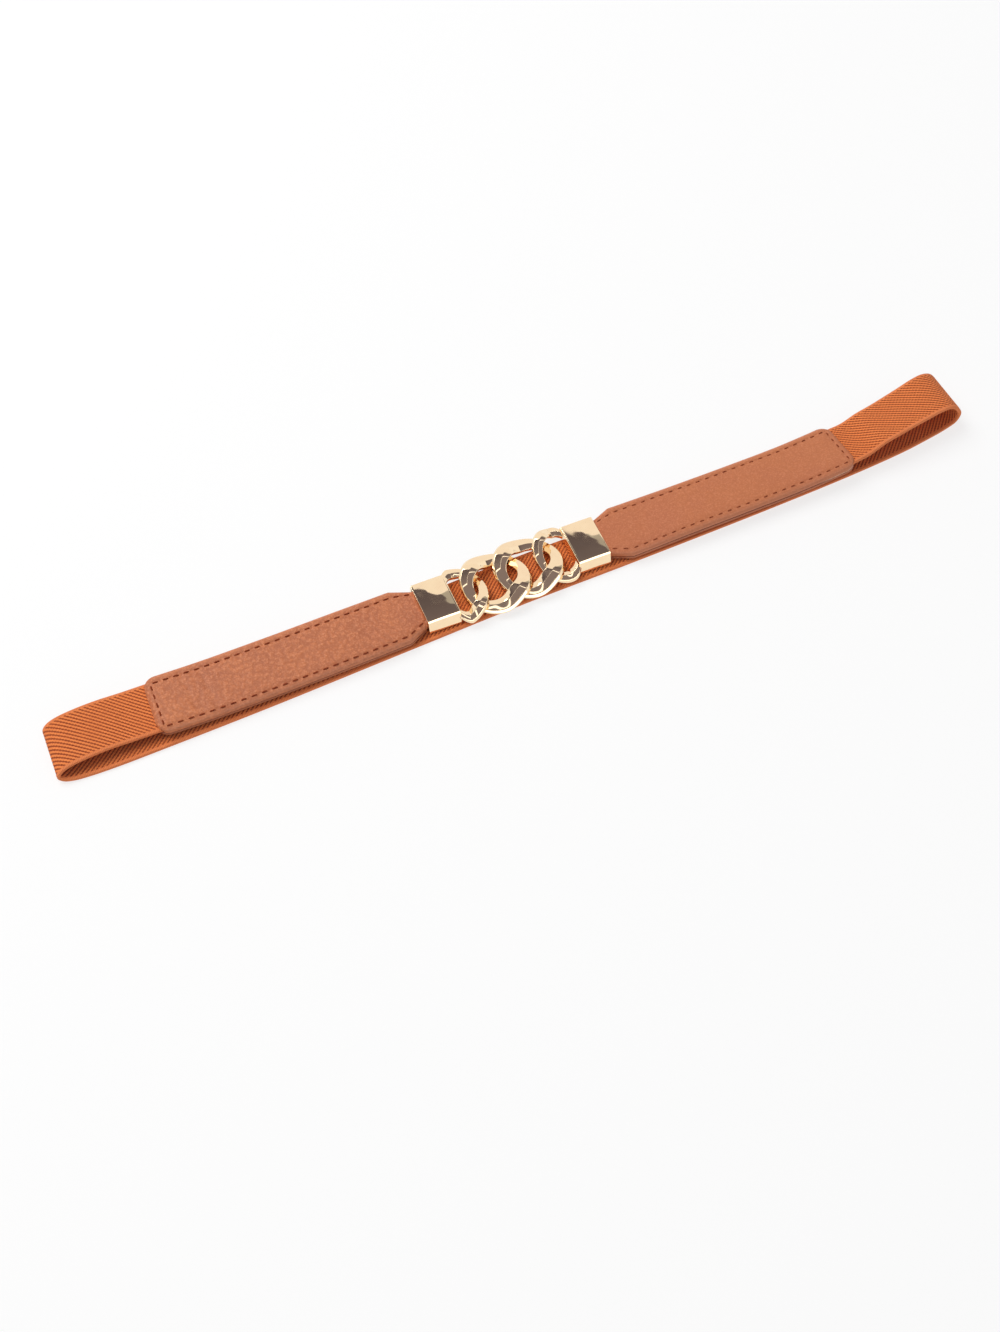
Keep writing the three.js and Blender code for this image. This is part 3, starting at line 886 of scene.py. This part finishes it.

# %% Lay the front leathers
LEFT_CREASES = [(86.0, 0.1, 0.22, 1.2), (83.0, -0.05, 0.15, 0.9), (79.5, 0.12, 0.2, 1.3)]
LEFT_CREASES += [(74.0, -0.1, 0.03, 1.2), (60.0, 0.15, 0.03, 1.5)]
RIGHT_CREASES = [(88.0, 0.1, 0.025, 1.6), (45.0, -0.1, 0.02, 2.5)]
# Distances in a tab count from its cap's mouth; place_at turns them into the line's.
tabs = [
    ("left", lambda d: d, left_leather, LEFT_CREASES),
    ("right", lambda d: belt_length - d, right_leather, RIGHT_CREASES),
]
for side_name, place_at, material, creases in tabs:
    rings, d, w = front_rings(place_at, creases)
    name = f"tab_front_{side_name}_leather"
    front = face_outwards(skin(name, rings, sheet_uv(d, w, 0.0), material, sharp=50.0))
    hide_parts(f"tab_front_{side_name}")
    print(name, len(front.data.polygons), "faces")


# %% [markdown]
# The back leather is a plain strip of the same outline. Its colour is painted darker
# than the front's, as painted shade of the gap under the tab. Between the two lies a
# strip that is a little narrower: the leather's core at its cut edge. It was dyed after
# sewing, but near the right tab's outer end the raw, pale core shows.


# %% Back leather
def strip_rings(place_at, low, high, narrower):
    corner = TAB_LENGTH - TAB_CORNER
    turn = TAB_CORNER * np.sin(np.radians(np.arange(9, 91, 9)))
    d = np.concatenate([[0.3], np.linspace(NOSE_LENGTH, corner, 60), corner + turn])
    half = tab_half(d) - narrower
    thick = high - low
    r = min(0.3, thick * 0.45)
    shape = [(-r, low), (-r * 0.3, low + r * 0.3), (0, low + r), (0, high - r)]
    shape += [(-r * 0.3, high - r * 0.3), (-r, high)]
    w = np.column_stack([half + v for v, _ in shape] + [-(half + v) for v, _ in shape[::-1]])
    h = np.array([v for _, v in shape] + [v for _, v in shape[::-1]])
    return laid(place_at(d)[:, None] + 0 * w, w, h), d, w


def raw_edge_finish(name, dyed_up_to):
    """Dyed leather that turns raw and pale beyond a distance from the cap's mouth."""
    f = Finish(name)
    place = f.node("ShaderNodeTexCoord").outputs["Object"]
    along, _ = f.along_across()
    fuzz = f.noise(place, 1500.0, 3.0)
    raw = f.mix(f.step(fuzz, 0.3, 0.7), srgb(226, 180, 148), srgb(240, 204, 176))
    color = f.mix(f.step(along, dyed_up_to, dyed_up_to + 8.0), srgb(138, 74, 46), raw)
    return f.finish(color=color, roughness=0.9, normal=f.bump(fuzz, 0.05 * mm))


RAW_FROM = 82.0
# Painted shade: the back leather's darker tint stands for the shadow under the tab.
shaded_back_leather = leather_finish("shaded_back_leather", 0.6, (158, 86, 54))
raw_cores = {
    "left": raw_edge_finish("dyed_leather_core", TAB_LENGTH),
    "right": raw_edge_finish("raw_leather_core", RAW_FROM),
}
for side_name, place_at, _, _ in tabs:
    top = RIM_BOTTOM - SEAT
    rings, d, w = strip_rings(place_at, top - BACK_LEATHER, top, 0.0)
    name = f"tab_back_{side_name}_leather"
    back = face_outwards(skin(name, rings, sheet_uv(d, w, 300.0), shaded_back_leather))
    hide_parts(f"tab_back_{side_name}")
    rings, d, w = strip_rings(place_at, top, RIM_BOTTOM, 0.12)
    name = f"tab_core_{side_name}"
    core = face_outwards(skin(name, rings, sheet_uv(d, w, 0.0), raw_cores[side_name]))
    print(back.name, len(back.data.polygons), "faces, and its core line")

# %% [markdown]
# ## The stitches
#
# Each stitch is a short piece of thick waxed thread that comes up through one hole and
# goes down through the next. As geometry it throws its own small shadow, which a drawn
# dash can't do. One stitch is a bent tube: its ends dive below the leather and its
# middle lies in the groove. All the stitches of a tab are one mesh. The thread's colours
# are painted darker than its own, as painted shade of the needle holes and the groove.

# %% Thread material
THREAD_SIDES = 8


def thread_finish(name, dark, light):
    f = Finish(name)
    place = f.node("ShaderNodeTexCoord").outputs["Object"]
    twist = f.noise(place, 2400.0, 2.0)
    color = f.mix(f.step(twist, 0.3, 0.7), srgb(*dark), srgb(*light))
    return f.finish(color=color, roughness=0.8, specular=0.1, normal=f.bump(twist, 0.04 * mm))


# Painted shade: both threads are coloured darker than the thread itself, for the shade in the holes
# and the groove.
left_thread_shaded = thread_finish("left_thread_painted_shade", (116, 42, 18), (150, 70, 36))
right_thread_shaded = thread_finish("right_thread_painted_shade", (124, 54, 30), (154, 80, 48))

# %% Lay the stitches
STATIONS = np.linspace(-1, 1, 9)  # along one stitch, from end to end
DIVE_FROM = 0.55  # the share of half the stitch from which the thread goes down
DIVE_DEPTH = 0.55


def thread_points(place_at, a, b, creases, shown, radius):
    """The thread's middle line between holes a and b; shown is a share of their pitch."""
    middle_of = (a + b) / 2
    reach = (b - a) * shown / 2
    flat = middle_of[None, :] + STATIONS[:, None] * reach[None, :]
    d, w = flat.T
    lie = leather_height(d, w, creases) + radius * 0.45
    ends = np.clip((np.abs(STATIONS) - DIVE_FROM) / (1 - DIVE_FROM), 0, 1)
    dive = ends**2 * DIVE_DEPTH
    return laid(place_at(d), w, lie - dive), at(place_at(d))[2]


def tube(points, up, radius):
    """Rings round a short thread, thinner at both ends."""
    way = np.gradient(points, axis=0)
    way /= np.linalg.norm(way, axis=1)[:, None]
    beside = np.cross(way, up)
    beside /= np.linalg.norm(beside, axis=1)[:, None]
    over = np.cross(beside, way)
    thin = radius * (1 - 0.45 * np.abs(STATIONS) ** 4)
    angle = np.arange(THREAD_SIDES) * 2 * math.pi / THREAD_SIDES
    c, s = np.cos(angle)[None, :, None], np.sin(angle)[None, :, None]
    offset = beside[:, None] * c + over[:, None] * s
    return points[:, None] + offset * thin[:, None, None]


def sew(name, place_at, creases, thread, shown, radius):
    verts, faces = [], []
    stitch_faces = ring_faces(len(STATIONS), THREAD_SIDES, False)[2]
    for a, b in zip(holes[:-1], holes[1:]):
        if np.linalg.norm(b - a) < 1.0:
            continue
        points, up = thread_points(place_at, a, b, creases, shown, radius)
        faces += [[len(verts) + k for k in face] for face in stitch_faces]
        verts += tube(points, up, radius).reshape(-1, 3).tolist()
    made = meshed(name, np.array(verts), faces, thread)
    return face_outwards(made)


# thread, share of the pitch that shows, radius in mm
threads = [(left_thread_shaded, 0.56, 0.29), (right_thread_shaded, 0.46, 0.23)]
for (side_name, place_at, _, creases), (thread, shown, radius) in zip(tabs, threads):
    sewn = sew(f"stitches_{side_name}", place_at, creases, thread, shown, radius)
    print(sewn.name, len(sewn.data.polygons), "faces")

# %% [markdown]
# ## The metal
#
# The caps and links are cast in a soft alloy, polished and plated pale gold. The plating
# follows every unevenness of the casting, and on a mirror surface that shows at once:
# the reflections waver. A low, slow bump gives that. The colour sits in the base colour
# alone, and the roughness stays near a mirror's, with a little haze in places.


# %% Gold material
def gold_finish():
    f = Finish("pale_gold_plating")
    place = f.node("ShaderNodeTexCoord").outputs["Object"]
    slow = f.noise(place, 130.0, 1.0)
    normal = f.bump(slow, 0.10 * mm)
    haze = f.noise(place, 300.0, 3.0)
    rough = f.step(haze, 0.3, 0.8, 0.025, 0.06)
    color = f.mix(f.step(haze, 0.2, 0.9), (0.97, 0.77, 0.51, 1.0), (0.94, 0.72, 0.47, 1.0))
    return f.finish(color=color, metallic=1.0, roughness=rough, normal=normal)


pale_gold = gold_finish()

# %% [markdown]
# ## The links
#
# A flat curb link is a wire ring whose round section has been ground to a blade: a
# ridge, a face that falls outwards from it, one that falls inwards, and a low rim. The
# two faces mirror different cards, which draws the ridge. Each link also rises and
# falls twice on its way round, so that it can pass over one neighbour and under the
# other, and it is widest where it passes on top. Walking a section round an oval while
# the sine of twice the angle lifts and widens it makes exactly that shape.

# %% Sizes of the clasp
REST_Z = BAND_THICK + SEAT
LINK_THICK = 2.3
LINK_BAND = 4.6
BOW_BAND = 3.4
LINK_SWELL = 0.16
LINK_FULL = 0.4
LINK_DROP = 1.2
LINK_HALF_LENGTH = 13.1
LINK_HALF_WIDTH = 13.2
LINK_PITCH = 13.6
LINK_PASS = 1.1
LINK_WEAVE = (LINK_THICK + LINK_PASS) / 2
LINK_Z = REST_Z + LINK_THICK / 2 + LINK_WEAVE
BOW_LENGTH = 10.3
BOW_HALF = 12.5
BOW_REACH = 3.1
CAP_LENGTH = 12.5
CAP_WIDTH = 17.6
CAP_SPAN = 3 * LINK_PITCH + 2 * BOW_REACH + CAP_LENGTH


# %% Section with rounded corners
def rounded(corners, radii, steps=4):
    """A closed outline whose corners are replaced by arcs."""
    corners = np.array(corners, float)
    out = []
    for k, radius in enumerate(radii):
        here = corners[k]
        back = corners[k - 1] - here
        forth = corners[(k + 1) % len(corners)] - here
        back_length, forth_length = np.linalg.norm(back), np.linalg.norm(forth)
        back, forth = back / back_length, forth / forth_length
        half_turn = math.acos(np.clip(back @ forth, -1, 1)) / 2
        reach = min(radius / math.tan(half_turn), 0.45 * back_length, 0.45 * forth_length)
        for t in np.linspace(0, 1, steps + 1):
            a, b = here + back * reach * (1 - t), here + forth * reach * t
            out.append(a + (b - a) * t)
    return np.array(out)


# Shares of the link's width and height: x outwards, y up.
blade = rounded(
    [(-0.42, -0.5), (0.33, -0.5), (0.5, -0.12), (0.36, 0.3), (-0.08, 0.5), (-0.5, 0.34)],
    [0.12, 0.12, 0.14, 0.12, 0.1, 0.08],
)
print("blade section:", len(blade), "points")


# %% Ring of the section round an oval
def link_ring(centre, half_x, half_y, band, angle):
    c, s = math.cos(angle), math.sin(angle)
    out = np.array([c / half_x, s / half_y])
    out /= np.linalg.norm(out)
    over = -math.sin(2 * angle)  # 1 where the link passes on top, -1 underneath
    reach = (blade[:, 0] - 0.5) * band * (1 + LINK_SWELL * over + LINK_FULL * s * s)
    rise = LINK_WEAVE * over - LINK_DROP * s * s * (1 - over * over)
    x = centre[0] + c * half_x + out[0] * reach
    y = centre[1] + s * half_y + out[1] * reach
    return np.column_stack([x, y, centre[2] + rise + blade[:, 1] * LINK_THICK])


def plain_uv(rings):
    count, size = np.shape(rings)[:2]
    i, j = np.indices((count + 1, size + 1))
    return np.stack([i * 0.8, j * 0.3], axis=-1)


# %% Full links
full_links = [
    ("clasp_link_left", -0.475 * LINK_PITCH, -0.04 * LINK_HALF_WIDTH),
    ("clasp_link_right", 0.525 * LINK_PITCH, 0.03 * LINK_HALF_WIDTH),
]
for node, x, y in full_links:
    oval = (LINK_HALF_LENGTH, LINK_HALF_WIDTH, LINK_BAND)
    angles = np.radians(np.arange(0, 360, 3))
    rings = [link_ring((x, y, LINK_Z), *oval, a) + shift for a in angles]
    link = skin(node + "_gold", rings, plain_uv(rings), pale_gold, closed=True, sharp=60)
    face_outwards(link)
    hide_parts(node)

# %% [markdown]
# ## The caps
#
# Each cap is a flat box of metal, open at the end where the leather goes in, with half a
# link cast on the other end. The mirror on its top is never quite flat: a dome of a few
# tenths of a millimetre bends the reflections, and the pale and dark halves meet in a
# slanting line. The cap is one skin that runs over the outside, turns in at the mouth
# and ends at the bottom of the pocket.

# %% Sizes of the caps
CAP_FLOOR = 1.15
CAP_ROOF = 1.25
TONGUE_SHAVE = 0.15  # pared off each side of the leather that goes into the cap
TONGUE_LOW = CORE_Z + RIM_BOTTOM + TONGUE_SHAVE
TONGUE_HIGH = CORE_Z + FRONT_TOP - TONGUE_SHAVE
CAP_LOW = TONGUE_LOW - SEAT - CAP_FLOOR
CAP_HIGH = TONGUE_HIGH + SEAT + CAP_ROOF
CAP_END_WALL = 2.0
CAP_SIDE_WALL = 1.1
CAP_BEVEL = 0.5
CAP_CORNER = 0.35  # rounding of the end that carries the half link
LIP_ROUND = 0.2  # rounding of the mouth
DOME = 0.3
CAP_FLARE = 1.0


# %% Half link cast with the cap
def bow_rings():
    centre = (-CAP_LENGTH / 2 - BOW_REACH, 0.0, LINK_Z)
    oval = (BOW_LENGTH, BOW_HALF, BOW_BAND)
    arc = [link_ring(centre, *oval, math.pi * (0.5 + k / 60)) for k in range(61)]

    def arm(share, sign):
        x = np.full(len(blade), centre[0] + share * (BOW_REACH + CAP_END_WALL / 2))
        edge = BOW_HALF + (CAP_WIDTH / 2 - BOW_HALF) * share**2
        root = LINK_Z - LINK_DROP
        z = root + ((CAP_LOW + CAP_HIGH) / 2 - root) * share
        y = sign * (edge + (blade[:, 0] - 0.5) * BOW_BAND * (1 + LINK_FULL))
        return np.column_stack([x, y, z + blade[:, 1] * LINK_THICK])

    shares = np.linspace(0.12, 1, 10)
    return [arm(s, 1) for s in reversed(shares)] + arc + [arm(s, -1) for s in shares]


# %% Cap body
WALL_SHARES = (0.0, 0.12, 0.3, 0.5, 0.75, 1.0)


def cap_ring(x, inset=0.0, pocket=False):
    """The cap's outline at x, drawn in by inset, or its pocket's outline."""
    half, low, high = CAP_WIDTH / 2 - inset, CAP_LOW + inset, CAP_HIGH - inset
    if pocket:
        half = CAP_WIDTH / 2 - CAP_SIDE_WALL
        low, high = TONGUE_LOW - SEAT, TONGUE_HIGH + SEAT
    bevel = 0.12 if pocket else CAP_BEVEL
    top = np.linspace(half - bevel, -half + bevel, 25)
    arc = np.radians([8, 82])  # a ground bevel with hardly rounded edges
    right = [(half - bevel + bevel * math.cos(a), high - bevel + bevel * math.sin(a)) for a in arc]
    flare = 0.0 if pocket else CAP_FLARE
    tall = high - bevel - low
    side = [(half + flare * (1 - k) ** 1.4, low + 0.2 + k * (tall - 0.2)) for k in WALL_SHARES]
    left = [(-y, z) for y, z in (side + right)[::-1]]
    floor = [(-half - flare + 0.3, low), (0.0, low), (half + flare - 0.3, low)]
    outline = np.array(side + right + [(y, high) for y in top] + left + floor)
    ring = np.column_stack([np.full(len(outline), x), outline])
    if not pocket:
        on_top = outline[:, 1] > high - bevel - 0.01
        u = x / (CAP_LENGTH / 2)
        v = outline[:, 0] / (CAP_WIDTH / 2)
        ring[:, 2] -= on_top * DOME * (0.33 * u * u + 0.67 * v * v)
    return ring


def rounded_end(x, radius, way):
    """Rings that shrink round a corner as they near the end at x."""
    turns = np.radians([0, 22.5, 45, 67.5, 90])
    return [cap_ring(x - way * radius * (1 - math.sin(a)), radius * (1 - math.cos(a)))
            for a in turns]


def cap_rings():
    end = CAP_LENGTH / 2
    first = rounded_end(-end, CAP_CORNER, -1)[::-1]
    along = [cap_ring(x) for x in np.linspace(-end + 0.8, end - 0.6, 22)]
    last = rounded_end(end, LIP_ROUND, 1)
    depths = (end - 0.05, end - 2.0, -end + CAP_END_WALL)
    pocket = [cap_ring(x, pocket=True) for x in depths]
    return first + along + last + pocket


def turned(rings, side_sign):
    """Rings of a cap put in place at the left (-1) or the right (1) of the clasp."""
    yaw = math.radians(CAP_YAW + (0 if side_sign > 0 else 180))
    c, s = math.cos(yaw), math.sin(yaw)
    rings = np.array(rings)
    x, y = rings[..., 0].copy(), rings[..., 1].copy()
    rings[..., 0] = c * x - s * y + side_sign * CAP_SPAN / 2
    rings[..., 1] = s * x + c * y
    return rings + shift


# %% Cast the caps
for side_name, side_sign in (("left", -1), ("right", 1)):
    name = f"clasp_cap_{side_name}"
    body = turned(cap_rings(), side_sign)
    cap = skin(name + "_gold", body, plain_uv(body), pale_gold, sharp=35)
    bow = turned(bow_rings(), side_sign)
    half_link = skin(f"half_link_{side_name}_gold", bow, plain_uv(bow), pale_gold, sharp=60)
    for piece in (cap, half_link):
        face_outwards(piece)
    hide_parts(name)
